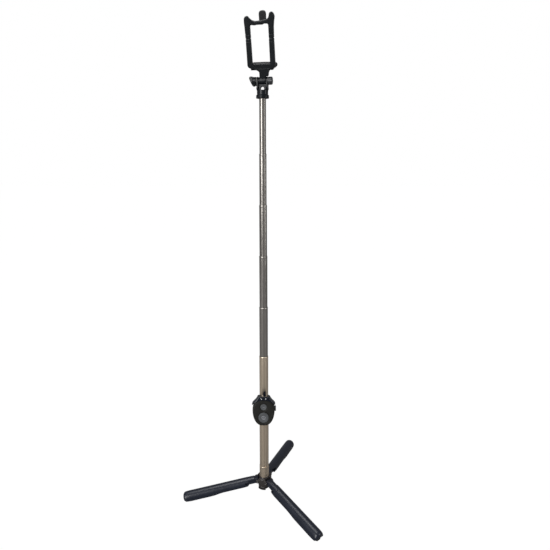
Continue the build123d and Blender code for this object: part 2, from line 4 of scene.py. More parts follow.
import bpy
import numpy as np
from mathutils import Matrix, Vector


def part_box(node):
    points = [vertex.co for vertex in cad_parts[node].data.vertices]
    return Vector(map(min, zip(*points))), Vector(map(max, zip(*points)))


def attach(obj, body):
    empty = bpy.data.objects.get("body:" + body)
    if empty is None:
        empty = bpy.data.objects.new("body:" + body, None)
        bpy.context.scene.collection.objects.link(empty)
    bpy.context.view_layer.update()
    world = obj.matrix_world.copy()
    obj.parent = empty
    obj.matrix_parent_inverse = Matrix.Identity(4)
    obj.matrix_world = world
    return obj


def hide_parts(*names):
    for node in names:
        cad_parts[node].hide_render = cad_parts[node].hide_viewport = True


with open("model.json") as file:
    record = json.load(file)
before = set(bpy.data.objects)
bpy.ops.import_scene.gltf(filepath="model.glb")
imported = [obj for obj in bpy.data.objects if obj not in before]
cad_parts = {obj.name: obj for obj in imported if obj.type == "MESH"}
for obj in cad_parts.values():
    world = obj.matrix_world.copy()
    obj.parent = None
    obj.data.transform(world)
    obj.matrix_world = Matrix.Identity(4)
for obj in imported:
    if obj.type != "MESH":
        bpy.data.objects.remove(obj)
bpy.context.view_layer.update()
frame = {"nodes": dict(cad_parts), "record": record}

import openvdb
from mathutils import Vector

# ---------------------------------------------------------------------------
# local frames, in millimetres about the mast axis at the leg hinge plane
# ---------------------------------------------------------------------------
lo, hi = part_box("tube_1")
S = np.array([(lo.x + hi.x) / 2, (lo.y + hi.y) / 2, lo.z + 0.0093])
LEG_AZ = {"left": 189.1, "front": 309.1, "back": 69.1}
SLOPE = math.radians(8.4)


def unit(v):
    v = np.array(v, float)
    return v / np.linalg.norm(v)


class Local:
    """A local frame in mm; out() takes its points to the row frame in metres."""

    def __init__(self, o, x, z):
        self.o, self.x, self.z = np.array(o, float), unit(x), unit(z)
        self.y = np.cross(self.z, self.x)

    def out(self, p):
        p = np.asarray(p, float)
        w = self.o + p[:, :1] * self.x + p[:, 1:2] * self.y + p[:, 2:3] * self.z
        return w / 1000 + S


MAST = Local((0, 0, 0), (1, 0, 0), (0, 0, 1))
yaw, tilt, lean = math.radians(9), math.radians(19), math.radians(14)
U = (math.cos(yaw), -math.sin(yaw), 0)
HEAD = Local((0, 0, 551), U, (0, 0, 1))
HOLD = Local((0, 0, 551), U, (-math.sin(tilt) * math.sin(yaw), -math.sin(tilt) * math.cos(yaw), math.cos(tilt)))
REM = Local((0, -18.5, 124.9), (1, 0, 0), (0, -math.cos(lean), math.sin(lean)))


def leg_frame(az):
    c, s = math.cos(math.radians(az)), math.sin(math.radians(az))
    return Local((11 * c, 11 * s, 1.5), (c * math.cos(SLOPE), s * math.cos(SLOPE), -math.sin(SLOPE)),
                 (c * math.sin(SLOPE), s * math.sin(SLOPE), math.cos(SLOPE)))


# ---------------------------------------------------------------------------
# distance functions
# ---------------------------------------------------------------------------
def smin(a, b, k):
    h = np.maximum(k - np.abs(a - b), 0) / k
    return np.minimum(a, b) - h * h * k * 0.25


def smax(a, b, k):
    return -smin(-a, -b, k)


def cut(a, b, k=0.3):
    return smax(a, -b, k)


def rnd(d2, dz, r):
    a, b = d2 + r, dz + r
    return np.minimum(np.maximum(a, b), 0) + np.hypot(np.maximum(a, 0), np.maximum(b, 0)) - r


def dbox(P, x0, x1, y0, y1, z0, z1, r=0.3):
    q = np.abs(P - np.array([(x0 + x1) / 2, (y0 + y1) / 2, (z0 + z1) / 2])) - (np.array([x1 - x0, y1 - y0, z1 - z0]) / 2 - r)
    return np.linalg.norm(np.maximum(q, 0), axis=1) + np.minimum(q.max(axis=1), 0) - r


def dcyl(P, ax, c, R, a0, a1, r=0.3):
    """Cylinder along axis ax, centred on c in the other two axes, from a0 to a1."""
    i, j = [k for k in range(3) if k != ax]
    d = np.hypot(P[:, i] - c[0], P[:, j] - c[1]) - R
    return rnd(d, np.abs(P[:, ax] - (a0 + a1) / 2) - (a1 - a0) / 2, r)


def dcap(P, a, b, ra, rb):
    a, b = np.array(a, float), np.array(b, float)
    t = np.clip(((P - a) @ (b - a)) / ((b - a) @ (b - a)), 0, 1)
    return np.linalg.norm(P - a - t[:, None] * (b - a), axis=1) - (ra + (rb - ra) * t)


class Poly:
    """Signed distance to a polygon, kept on a grid; blur rounds its corners."""

    def __init__(self, pts, blur=0.0, g=0.15, pad=5.0):
        v = np.array(pts, float)
        self.g, self.lo = g, v.min(0) - pad
        n = np.ceil((v.max(0) + pad - self.lo) / g).astype(int) + 1
        X, Y = np.meshgrid(self.lo[0] + g * np.arange(n[0]), self.lo[1] + g * np.arange(n[1]), indexing="ij")
        P = np.stack([X.ravel(), Y.ravel()], 1)
        d = np.full(len(P), 1e9)
        s = np.ones(len(P))
        for i in range(len(v)):
            a, b = v[i], v[i - 1]
            e, w = b - a, P - a
            L = e @ e
            if L < 1e-12:
                continue
            q = w - e * np.clip((w @ e) / L, 0, 1)[:, None]
            d = np.minimum(d, (q * q).sum(1))
            c1, c2 = P[:, 1] >= a[1], P[:, 1] < b[1]
            c3 = e[0] * w[:, 1] > e[1] * w[:, 0]
            flip = (c1 & c2 & c3) | (~c1 & ~c2 & ~c3)
            s = np.where(flip, -s, s)
        D = (s * np.sqrt(d)).reshape(n)
        k = int(round(blur / g))
        for _ in range(3 if k else 0):
            for ax in (0, 1):
                pad_w = [(0, 0), (0, 0)]
                pad_w[ax] = (k + 1, k)
                c = np.cumsum(np.pad(D, pad_w, mode="edge"), axis=ax)
                m = 2 * k + 1
                D = (np.take(c, range(m, c.shape[ax]), axis=ax) - np.take(c, range(0, c.shape[ax] - m), axis=ax)) / m
        self.D = D

    def __call__(self, x, y):
        fx = np.clip((x - self.lo[0]) / self.g, 0, self.D.shape[0] - 1.001)
        fy = np.clip((y - self.lo[1]) / self.g, 0, self.D.shape[1] - 1.001)
        i, j = fx.astype(int), fy.astype(int)
        u, v = fx - i, fy - j
        D = self.D
        return (D[i, j] * (1 - u) + D[i + 1, j] * u) * (1 - v) + (D[i, j + 1] * (1 - u) + D[i + 1, j + 1] * u) * v


def both(half):
    return half + [(-x, z) for x, z in reversed(half) if x > 1e-6]


def rounded_spline(pts, n=6):
    """Closed Catmull-Rom curve through the points."""
    p = np.array(pts, float)
    out = []
    m = len(p)
    for i in range(m):
        a, b, c, d = p[i - 1], p[i], p[(i + 1) % m], p[(i + 2) % m]
        for t in np.arange(n) / n:
            out.append(0.5 * ((2 * b) + (c - a) * t + (2 * a - 5 * b + 4 * c - d) * t * t + (3 * b - 3 * c + d - a) * t ** 3))
    return out


def field(f, P):
    out = np.empty(len(P))
    for i in range(0, len(P), 300000):
        out[i:i + 300000] = f(P[i:i + 300000])
    return out


def solid(f, a, b, h):
    """Vertices in mm and quads of the surface f = 0 inside the box a..b, on a grid of step h."""
    a, b = np.array(a, float), np.array(b, float)
    C = 4
    n = np.ceil((b - a) / (h * C)).astype(int) + 1
    ax = [a[k] + h * C * (np.arange(n[k]) + 0.375) for k in range(3)]
    G = np.stack(np.meshgrid(*ax, indexing="ij"), -1).reshape(-1, 3)
    coarse = field(f, G).reshape(n)
    fine = coarse.repeat(C, 0).repeat(C, 1).repeat(C, 2)
    idx = np.argwhere(np.abs(fine) < h * C * 1.6)
    vals = field(f, a + idx * h)
    fine = np.clip(fine, -h * C * 2, h * C * 2)
    fine[idx[:, 0], idx[:, 1], idx[:, 2]] = vals
    g = openvdb.FloatGrid(h * C * 2)
    g.copyFromArray(np.ascontiguousarray(fine, np.float32))
    pts, quads = g.convertToQuads(0.0)
    p = a + np.array(pts, float) * h
    e = h * 0.3
    for _ in range(3):
        d = field(f, p)
        grad = np.stack([field(f, p + e * np.eye(3)[k]) - field(f, p - e * np.eye(3)[k]) for k in range(3)], 1) / (2 * e)
        gn = np.maximum((grad ** 2).sum(1), 0.2)
        step = grad * (d / gn)[:, None]
        ln = np.linalg.norm(step, axis=1)
        p = p - step * np.minimum(1, h * 0.7 / np.maximum(ln, 1e-9))[:, None]
    return p, np.array(quads, int)


def mesh_obj(name, verts, faces, smooth=True, sharp=None):
    me = bpy.data.meshes.new(name)
    me.from_pydata([tuple(v) for v in verts], [], [tuple(int(i) for i in f) for f in faces])
    me.validate()
    me.update()
    me.polygons.foreach_set("use_smooth", [smooth] * len(me.polygons))
    if sharp:
        me.set_sharp_from_angle(angle=math.radians(sharp))
    o = bpy.data.objects.new(name, me)
    bpy.context.scene.collection.objects.link(o)
    return o


def put(o, body, slot, mat, *nodes):
    o.data.materials.clear()
    o.data.materials.append(mat)
    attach(o, body)
    if nodes:
        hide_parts(*nodes)
    return o


def outward(p, q):
    """Flips the faces if the volume is negative."""
    a, b, c, d = (p[q[:, k]] for k in range(4))
    vol = (np.cross(b - a, c - a) * a).sum() + (np.cross(c - a, d - a) * a).sum()
    return q if vol > 0 else q[:, ::-1]


def carve(name, f, a, b, h, loc, body, slot, mat, *nodes):
    p, q = solid(f, a, b, h)
    q = outward(p, q)
    return put(mesh_obj(name, loc.out(p), q), body, slot, mat, *nodes)


def lathe(profile, loc, ax=2, c=(0.0, 0.0), n=64, wob=None):
    """Solid of revolution. profile: (r, a) pairs; ends at r = 0 close on the axis."""
    prof = list(profile)
    vs, fs = [], []
    for r, a in prof:
        for k in range(n):
            t = 2 * math.pi * k / n
            rr = r * (wob(t, a) if wob else 1)
            u, v = c[0] + rr * math.cos(t), c[1] + rr * math.sin(t)
            pt = {2: (u, v, a), 0: (a, u, v), 1: (v, a, u)}[ax]
            vs.append(pt)
    m = len(prof)
    for i in range(m - 1):
        for k in range(n):
            k2 = (k + 1) % n
            fs.append((i * n + k, i * n + k2, (i + 1) * n + k2, (i + 1) * n + k))
    if prof[0][0] < 1e-6 or prof[-1][0] < 1e-6:
        pass
    closed = prof[0] == prof[-1]
    vs = np.array(vs, float)
    if not closed:
        fs.append(tuple(range(n))[::-1])
        fs.append(tuple((m - 1) * n + k for k in range(n)))
    return vs, fs


def tidy(o):
    """Merges doubles, drops empty faces and makes normals face out."""
    import bmesh
    bm = bmesh.new()
    bm.from_mesh(o.data)
    bmesh.ops.remove_doubles(bm, verts=bm.verts, dist=2e-6)
    bmesh.ops.dissolve_degenerate(bm, edges=bm.edges, dist=1e-6)
    bmesh.ops.recalc_face_normals(bm, faces=bm.faces)
    bm.to_mesh(o.data)
    bm.free()
    o.data.polygons.foreach_set("use_smooth", [True] * len(o.data.polygons))
    o.data.set_sharp_from_angle(angle=math.radians(38))
    return o


def turned(name, parts_, loc, body, slot, mat, *nodes):
    """One object from several lathe results."""
    vs, fs, k = [], [], 0
    for v, f in parts_:
        vs.append(v)
        fs += [tuple(i + k for i in g) for g in f]
        k += len(v)
    o = mesh_obj(name, loc.out(np.concatenate(vs)), fs)
    tidy(o)
    return put(o, body, slot, mat, *nodes)


# ---------------------------------------------------------------------------
# materials
# ---------------------------------------------------------------------------
def material(name, col, rough, metal=0.0, coat=0.0, coat_rough=0.1, var=0.10, scale=60.0, stretch=(1, 1, 1), bump=0.00002,
             bscale=900.0, rvar=0.06, edge=0.0, spec=0.5, aniso=0.0):
    m = bpy.data.materials.new(name)
    m.use_nodes = True
    nt = m.node_tree
    N, L = nt.nodes, nt.links
    b = N["Principled BSDF"]
    b.inputs["Metallic"].default_value = metal
    b.inputs["Coat Weight"].default_value = coat
    b.inputs["Coat Roughness"].default_value = coat_rough
    b.inputs["Specular IOR Level"].default_value = spec
    b.inputs["Anisotropic"].default_value = aniso
    tc = N.new("ShaderNodeTexCoord")
    mp = N.new("ShaderNodeMapping")
    mp.inputs["Scale"].default_value = stretch
    L.new(tc.outputs["Object"], mp.inputs["Vector"])
    n1 = N.new("ShaderNodeTexNoise")
    n1.inputs["Scale"].default_value = scale
    n1.inputs["Detail"].default_value = 5
    n1.inputs["Roughness"].default_value = 0.6
    L.new(mp.outputs["Vector"], n1.inputs["Vector"])
    ramp = N.new("ShaderNodeValToRGB")
    c = np.array(col)
    ramp.color_ramp.elements[0].position = 0.3
    ramp.color_ramp.elements[1].position = 0.7
    ramp.color_ramp.elements[0].color = (*np.clip(c * (1 - var), 0, 1), 1)
    ramp.color_ramp.elements[1].color = (*np.clip(c * (1 + var), 0, 1), 1)
    L.new(n1.outputs["Fac"], ramp.inputs["Fac"])
    out = ramp.outputs["Color"]
    # painted highlight: convex edges, found by pointiness, are lightened in the base colour
    if edge:
        geo = N.new("ShaderNodeNewGeometry")
        edge_highlight_ramp = N.new("ShaderNodeValToRGB")
        edge_highlight_ramp.color_ramp.elements[0].position = 0.53
        edge_highlight_ramp.color_ramp.elements[1].position = 0.62
        edge_highlight_ramp.color_ramp.elements[0].color = (0, 0, 0, 1)
        edge_highlight_ramp.color_ramp.elements[1].color = (edge, edge, edge, 1)
        L.new(geo.outputs["Pointiness"], edge_highlight_ramp.inputs["Fac"])
        edge_highlight_mix = N.new("ShaderNodeMix")
        edge_highlight_mix.data_type = "RGBA"
        L.new(edge_highlight_ramp.outputs["Color"], edge_highlight_mix.inputs[0])
        L.new(out, edge_highlight_mix.inputs[6])
        edge_highlight_mix.inputs[7].default_value = (*np.clip(c * 2.2 + 0.02, 0, 1), 1)
        out = edge_highlight_mix.outputs[2]
    L.new(out, b.inputs["Base Color"])
    mr = N.new("ShaderNodeMapRange")
    mr.inputs["From Min"].default_value = 0.3
    mr.inputs["From Max"].default_value = 0.7
    mr.inputs["To Min"].default_value = max(rough - rvar, 0.03)
    mr.inputs["To Max"].default_value = rough + rvar
    L.new(n1.outputs["Fac"], mr.inputs["Value"])
    L.new(mr.outputs["Result"], b.inputs["Roughness"])
    n2 = N.new("ShaderNodeTexNoise")
    n2.inputs["Scale"].default_value = bscale
    n2.inputs["Detail"].default_value = 3
    L.new(mp.outputs["Vector"], n2.inputs["Vector"])
    bp = N.new("ShaderNodeBump")
    bp.inputs["Strength"].default_value = 0.6
    bp.inputs["Distance"].default_value = bump
    L.new(n2.outputs["Fac"], bp.inputs["Height"])
    L.new(bp.outputs["Normal"], b.inputs["Normal"])
    return m


M = {
    "beige": material("champagne_tube", (0.74, 0.62, 0.48), 0.32, metal=0.9, coat=0.2, coat_rough=0.2, var=0.05, scale=260, stretch=(1, 1, 0.03), bump=0.0000004, bscale=1800, rvar=0.05),
    "gun": material("gunmetal_tube", (0.33, 0.31, 0.285), 0.30, metal=0.9, coat=0.15, coat_rough=0.2, var=0.06, scale=260, stretch=(1, 1, 0.03), bump=0.0000004, bscale=1800, rvar=0.05),
    "black": material("glossy_black_moulding", (0.007, 0.009, 0.011), 0.30, coat=0.05, coat_rough=0.12, var=0.15, scale=90, bump=0.000004, bscale=1800, rvar=0.05, edge=0.1, spec=0.22),
    "hood": material("glossy_navy_moulding", (0.005, 0.007, 0.013), 0.18, coat=0.15, coat_rough=0.06, var=0.12, scale=90, bump=0.000003, bscale=1500, rvar=0.04, edge=0.1, spec=0.3),
    "hub": material("hub_moulding", (0.030, 0.026, 0.025), 0.30, coat=0.2, var=0.15, scale=90, bump=0.000008, bscale=1500, rvar=0.05, edge=0.25),
    "leg": material("leg_moulding", (0.008, 0.011, 0.021), 0.34, coat=0.05, coat_rough=0.25, var=0.14, scale=70, bump=0.000006, bscale=1200, rvar=0.04, edge=0.1, spec=0.45),
    "cover": material("leg_cover_moulding", (0.024, 0.026, 0.034), 0.45, var=0.12, scale=70, bump=0.00002, bscale=2600, rvar=0.06, edge=0.15),
    "remote": material("remote_moulding", (0.011, 0.011, 0.009), 0.5, var=0.10, scale=90, bump=0.000012, bscale=3800, rvar=0.06, edge=0.1, spec=0.25),
    "button": material("grey_button", (0.085, 0.09, 0.095), 0.42, spec=0.3, var=0.08, scale=120, bump=0.000012, bscale=3200, rvar=0.06, edge=0.1),
    "mark": material("button_mark", (0.36, 0.37, 0.40), 0.4, var=0.06, scale=200, bump=0.000005, bscale=3200),
    "rubber": material("black_rubber", (0.018, 0.018, 0.019), 0.72, var=0.2, scale=120, bump=0.00003, bscale=2600, rvar=0.08, spec=0.35),
    "grip": material("grey_rubber", (0.02, 0.02, 0.022), 0.62, var=0.10, scale=120, bump=0.00003, bscale=2600, rvar=0.08, spec=0.35),
    "claw": material("grey_moulding", (0.012, 0.013, 0.014), 0.38, spec=0.25, var=0.08, scale=90, bump=0.00001, bscale=2200, rvar=0.05),
    "steel": material("plain_steel", (0.56, 0.56, 0.57), 0.28, metal=1.0, var=0.06, scale=300, stretch=(1, 1, 0.1), bump=0.000002, bscale=3000, rvar=0.06),
    "dark": material("black_coated_steel", (0.028, 0.032, 0.036), 0.28, coat=0.3, var=0.12, scale=120, bump=0.000005, bscale=2600, rvar=0.05, edge=0.2),
    "acetal": material("natural_acetal", (0.68, 0.66, 0.60), 0.45, var=0.06, scale=120, bump=0.00001, bscale=2200),
    "board": material("solder_mask", (0.02, 0.14, 0.05), 0.35, var=0.15, scale=400, bump=0.00001, bscale=1500),
    "brass": material("plated_brass", (0.72, 0.55, 0.25), 0.25, metal=1.0, var=0.08, scale=200),
    "lens": material("clear_lens", (0.03, 0.03, 0.035), 0.12, coat=0.5, var=0.04, scale=200, bump=0.000002),
}
SLOT_MAT = {"tube_beige": "beige", "tube_gunmetal": "gun", "black_plastic": "black", "leg_plastic": "leg", "remote_plastic": "remote", "button_grey": "button",
            "rubber_black": "rubber", "rubber_grey": "grip", "steel": "steel", "dark_steel": "dark", "bush_plastic": "acetal", "board_green": "board", "brass_strip": "brass", "lens_clear": "lens"}
for sp in frame["record"]["subparts"]:
    o = frame["nodes"][sp["node"]]
    m = M[SLOT_MAT[sp["material_slot"]]]
    for s in o.material_slots:
        s.material = m
    for pgn in o.data.polygons:
        pgn.use_smooth = True
    o.data.set_sharp_from_angle(angle=math.radians(32))

# ---------------------------------------------------------------------------
# mast tubes
# ---------------------------------------------------------------------------
TUBE_R, STEP, WALL, KEY_R, KEY_DEPTH, KEY_AZ = 6.51, 0.41, 0.25, 1.6, 0.6, 282.0
KEY_C = TUBE_R + KEY_R - KEY_DEPTH
TOPS = [133.0, 199.6, 270.4, 340.2, 405.9, 468.2, 539.0]
BOTS = [-9.3] + [t - 12.5 for t in TOPS[:6]]
sp_t = np.concatenate([np.linspace(-180, -28, 38, endpoint=False), np.linspace(-28, 28, 44, endpoint=False), np.linspace(28, 180, 38, endpoint=False)])


def ring_xy(d):
    R, rho = TUBE_R - d, KEY_R + d
    ph = np.radians(sp_t)
    inside = rho ** 2 - (KEY_C * np.sin(ph)) ** 2
    g = np.where(inside > 0, KEY_C * np.cos(ph) - np.sqrt(np.maximum(inside, 0)), R + 3)
    g = np.where(np.cos(ph) > 0, g, R + 3)
    r = smin(np.full(len(ph), R), g, 0.22)
    a = ph + math.radians(KEY_AZ)
    return np.stack([r * np.cos(a), r * np.sin(a)], 1)


def keyed_tube(name, prof, loc, body, slot, mat, *nodes):
    vs = []
    for d, z in prof:
        xy = ring_xy(d)
        vs.append(np.column_stack([xy, np.full(len(xy), z)]))
    n, m = len(sp_t), len(prof)
    fs = []
    for i in range(m):
        j = (i + 1) % m
        for k in range(n):
            k2 = (k + 1) % n
            fs.append((i * n + k, i * n + k2, j * n + k2, j * n + k))
    o = mesh_obj(name, loc.out(np.concatenate(vs)), fs)
    tidy(o)
    return put(o, body, slot, mat, *nodes)


for i in range(7):
    d, z0, z1 = i * STEP, BOTS[i], TOPS[i]
    body = "mast_%d" % (i + 1)
    if i < 6:
        g = STEP - 0.04
        prof = [(d + 0.05, z0), (d, z0 + 0.2)]
        prof += [(d, z) for z in np.linspace(z0 + 3, z1 - 3.4, 10)]
        prof += [(d + 0.02, z1 - 3.0), (d - 0.02, z1 - 2.6), (d - 0.07, z1 - 2.1), (d - 0.09, z1 - 1.6), (d - 0.08, z1 - 1.1), (d - 0.03, z1 - 0.6), (d + 0.08, z1 - 0.22),
                 (d + 0.2, z1 - 0.05), (d + 0.28, z1), (d + g - 0.02, z1 - 0.06), (d + g, z1 - 0.3), (d + g, z1 - 2.9), (d + WALL, z1 - 3.1), (d + WALL, z0 + 0.1)]
    else:
        prof = [(d + 0.05, z0), (d, z0 + 0.2)] + [(d, z) for z in np.linspace(z0 + 3, z1 - 1, 10)] + [(d, z1), (d + WALL, z1), (d + WALL, z0 + 0.1)]
    keyed_tube("mast_tube_%d" % (i + 1), prof, MAST, body, "tube_beige" if i < 2 else "tube_gunmetal", M["beige" if i < 2 else "gun"], "tube_%d" % (i + 1))

# base ferrule: a short tube with a rolled top edge
fp = [(0, -8.9), (0, 23.6), (0.03, 23.9), (-0.05, 24.2), (-0.08, 24.6), (0.0, 24.95), (0.12, 25.15), (0.24, 25.2), (0.29, 25.0), (0.3, -8.9)]
vs, fs = [], []
n = len(sp_t)
key_off = ring_xy(-0.05)
for d, z in fp:
    base = 6.86 - d
    a = np.radians(sp_t + KEY_AZ)
    xy = np.stack([base * np.cos(a), base * np.sin(a)], 1) if d < 0.27 else key_off
    vs.append(np.column_stack([xy, np.full(n, z)]))
for i in range(len(fp)):
    j = (i + 1) % len(fp)
    for k in range(n):
        fs.append((i * n + k, i * n + (k + 1) % n, j * n + (k + 1) % n, j * n + k))
o = mesh_obj("mast_ferrule", MAST.out(np.concatenate(vs)), fs)
put(tidy(o), "base", "tube_beige", M["beige"], "base_ferrule")

# ---------------------------------------------------------------------------
# hub
# ---------------------------------------------------------------------------
def turn(P, az):
    c, s = math.cos(math.radians(az)), math.sin(math.radians(az))
    return np.stack([P[:, 0] * c + P[:, 1] * s, -P[:, 0] * s + P[:, 1] * c, P[:, 2]], 1)


def f_hub(P):
    d = dcyl(P, 2, (0, 0), 10.6, -9.45, 6.3, 1.0)
    d = smin(d, dcyl(P, 2, (0, 0), 8.2, 4.0, 8.0, 0.5), 0.8)
    for az in LEG_AZ.values():
        Q = turn(P, az)
        ear = smin(dbox(Q, 6, 11, -6.9, 6.9, -1.1, 4.1, 0.5), dcyl(Q, 1, (11, 1.5), 2.6, -6.9, 6.9, 0.5), 0.4)
        d = smin(d, ear, 1.0)
    for az in LEG_AZ.values():
        Q = turn(P, az)
        d = cut(d, dbox(Q, 7.5, 22, -4.75, 4.75, -13, 10, 0.3), 0.5)
        d = cut(d, dcyl(Q, 1, (11, 1.5), 1.02, -8, 8, 0.1), 0.25)
        d = cut(d, np.abs(np.hypot(Q[:, 0], Q[:, 1]) - 10.4) - 0.22 + 0 * P[:, 2] + np.maximum(np.abs(P[:, 2] + 6.2) - 0.22, 0), 0.2)
    return cut(d, dcyl(P, 2, (0, 0), 6.86, -14, 12, 0.1), 0.3)


carve("hub", f_hub, (-15.5, -15.5, -11), (15.5, 15.5, 9.5), 0.24, MAST, "base", "black_plastic", M["hub"], "hub_body")

# ---------------------------------------------------------------------------
# legs
# ---------------------------------------------------------------------------
LX = [14.0, 14.8, 50, 56, 64, 70, 98, 105, 108.3, 109.5, 113]
LZ = [-3.3, -4.0, -4.0, -4.35, -5.55, -5.8, -5.8, -5.3, -3.6, -1.4, 3]
TX = [-6, 0, 1.6, 4.0, 8, 101, 104.5, 107.2, 108.9, 109.6, 112]
TZ = [2.0, 3.25, 4.2, 5.1, 5.3, 5.3, 5.15, 4.5, 3.2, 1.6, -3]
SZ = [-9, -4, -1.5, 0.4, 1.8, 3.4, 5.0, 9]
SX = [21.0, 21.0, 21.0, 21.0, 21.0, 21.0, 21.0, 21.0]


def leg_outer(P, grow=0.0):
    x, y, z = P[:, 0], np.abs(P[:, 1]), P[:, 2]
    half = 7.8 - 0.35 * np.clip((x - 96) / 12, 0, 1) ** 2
    top = np.interp(x, TX, TZ)
    c = top - half
    d = np.where(z > c, np.hypot(y, z - c) - half, y - half)
    d = smax(d, np.interp(x, LX, LZ) - z, 1.3)
    d = smax(d, x - 109.5, 4.2)
    return d + grow


def f_leg(P):
    x, y, z = P[:, 0], np.abs(P[:, 1]), P[:, 2]
    d = leg_outer(P)
    neck = smin(y - 6.6 - 3.2 * np.clip((x - 13.0) / 18.0, 0, 1), np.interp(z, SZ, SX) - x, 1.6)
    root = smin(y - 4.5, 13.2 - x, 1.2)
    d = smax(smax(d, neck, 0.9), root, 0.8)
    # eye at the hinge
    d = smax(d, -x, 0.3)
    d = smin(d, dcyl(P, 1, (0, 0), 3.25, -4.5, 4.5, 0.45), 0.6)
    # shallow channel along the neck's flanks
    d = smax(d, -(dcap(P * [1, 0, 1] + np.array([0, 0, -0.4]), (7, 0, 0), (17, 0, 0), 1.5, 1.5) + np.maximum(0, 4.25 - y) * 3), 0.3)
    # recess for the inner cover
    rec = smax(np.maximum(y - 6.25, np.maximum(33 - x, x - 104)), z - (np.interp(x, LX, LZ) + 1.45), 0.3)
    d = cut(d, rec, 0.25)
    # fine witness groove along each flank where the mould parts
    d = cut(d, np.hypot(y - 8.0, (z + 2.55)) - 0.32 + np.maximum(0, 34 - x) + np.maximum(0, x - 103), 0.15)
    return d


def f_cover(P):
    x, y, z = P[:, 0], np.abs(P[:, 1]), P[:, 2]
    lz = np.interp(x, LX, LZ)
    d = smax(np.maximum(y - 6.08, np.maximum(33.16 - x, x - 103.84)), z - (lz + 1.4), 0.3)
    d = smax(d, lz + 0.02 - z, 0.45)
    for xs, zb in ((42.0, -4.0), (90.0, -5.8)):
        d = cut(d, dcyl(P, 2, (xs, 0), 1.75, zb - 3, zb + 0.8, 0.1), 0.2)
    # grip ribs across the belly
    w = np.abs(((x - 66) / 3.0) % 1 - 0.5) * 3.0
    rib = np.maximum(w - 0.45, np.maximum(y - 4.6, np.maximum(63 - x, x - 84)))
    return smax(d, -np.maximum(rib, z - (lz + 0.45)), 0.25)


def f_foot(P):
    x, y, z = P[:, 0], np.abs(P[:, 1]), P[:, 2]
    fl = (-22.8 + x * math.sin(SLOPE)) / math.cos(SLOPE)
    d = smax(smax(y - 3.5, np.maximum(98 - x, x - 107.6), 1.6), fl - z, 0.5)
    d = smax(d, z - (np.interp(x, LX, LZ) + 0.35), 0.2)
    w = np.abs(((x - 99.4) / 1.6) % 1 - 0.5) * 1.6
    return smax(d, -np.maximum(np.maximum(w - 0.22, z - fl - 0.35), np.maximum(y - 2.9, np.maximum(99.2 - x, x - 106.6))), 0.15)


leg_p = solid(f_leg, (-5, -9.5, -8), (112, 9.5, 7), 0.40)
cov_p = solid(f_cover, (31, -8, -8), (106, 8, 0), 0.30)
foot_p = solid(f_foot, (96, -5.5, -11), (110, 5.5, -1), 0.22)
for nm, az in LEG_AZ.items():
    loc = leg_frame(az)
    for kind, (p, q), mat, slot, node in (("shell", leg_p, "leg", "leg_plastic", "leg_%s_shell"), ("cover", cov_p, "cover", "leg_plastic", "leg_%s_inner_cover"),
                                          ("foot", foot_p, "rubber", "rubber_black", "leg_%s_foot")):
        put(mesh_obj("leg_%s_%s_skin" % (nm, kind), loc.out(p), outward(p, q)), "leg_" + nm, slot, M[mat], node % nm)

# ---------------------------------------------------------------------------
# mast head, tilt bolt, wing nut
# ---------------------------------------------------------------------------
def f_head(P):
    x, y, z = P[:, 0], P[:, 1], P[:, 2]
    d = dcyl(P, 2, (0, 0), 7.7, -19.5, -15.8, 0.7)
    base = dcyl(P, 2, (0, 0), 6.65, -17, -8.2, 0.6)
    ears = smin(dbox(P, -6.65, 6.65, -4.4, 4.4, -9.6, 0, 0.5), dcyl(P, 0, (0, 0), 4.4, -6.65, 6.65, 0.5), 0.2)
    d = smin(d, smin(base, ears, 2.0), 0.9)
    gap = dbox(P, -4.6, 4.6, -12, 12, -10.4, 9, 2.2)
    d = cut(d, gap, 0.5)
    web = rnd(np.maximum(np.abs(x) - 5.0, np.maximum(z + 3.6, -10.8 - z)), np.abs(y) - 1.5, 0.4)
    web = np.maximum(web, 4.0 - np.hypot(z, y))
    d = smin(d, cut(web, np.hypot(x, z + 8.6) - 2.05, 0.3), 0.3)
    d = cut(d, dcyl(P, 0, (0, 0), 1.95, -9, 9, 0.1), 0.25)
    # two turned lines round the collar
    for zz in (-18.4, -17.0):
        d = cut(d, np.hypot(np.hypot(x, y) - 7.75, z - zz) - 0.28, 0.15)
    return cut(d, dcyl(P, 2, (0, 0), 4.06, -24, -12.0, 0.1), 0.25)


carve("mast_head_body", f_head, (-9, -9, -21), (9, 9, 6), 0.2, HEAD, "mast_7", "black_plastic", M["black"], "mast_head")
knurl = lambda t, a: 1 - (0.035 * (0.5 + 0.5 * math.cos(18 * t)) if 7.6 < a < 10.9 else 0)
bolt = [(4.1, 6.85), (4.4, 7.1), (4.5, 7.6), (4.5, 7.7), (4.5, 8.5), (4.5, 9.6), (4.5, 10.8), (4.45, 11.0), (4.2, 11.5), (3.7, 11.9), (3.0, 12.1), (2.4, 12.15), (2.2, 12.0), (1.6, 11.8), (0.8, 11.75), (0.01, 11.75)]
turned("tilt_bolt_turned", [lathe(bolt, HEAD, 0, n=144, wob=knurl), lathe([(1.5, -12.2), (1.9, -11.8), (1.9, 0), (1.9, 6.9)], HEAD, 0)], HEAD, "mast_7", "dark_steel", M["dark"], "tilt_bolt")
wing_poly = Poly([(-6.9, -4.6), (-9.5, -6.2), (-11.6, -5.9), (-13.6, -2.5), (-15.8, 2.2), (-15.9, 3.8), (-14.6, 4.9), (-12.2, 4.9), (-10.6, 3.6), (-9.2, 0.2), (-6.9, 1.0)], 0.3)


def f_wing(P):
    d = dcyl(P, 0, (0, 0), 4.3, -11.6, -6.85, 0.8)
    d = smin(d, rnd(wing_poly(P[:, 0], P[:, 2]), np.abs(P[:, 1]) - 2.2, 1.2), 1.2)
    return cut(d, dcyl(P, 0, (0, 0), 1.95, -13, -6, 0.1), 0.3)


carve("wing_nut_moulded", f_wing, (-18, -6, -8), (-6, 6, 8.6), 0.18, HEAD, "wing", "black_plastic", M["black"], "wing_nut")

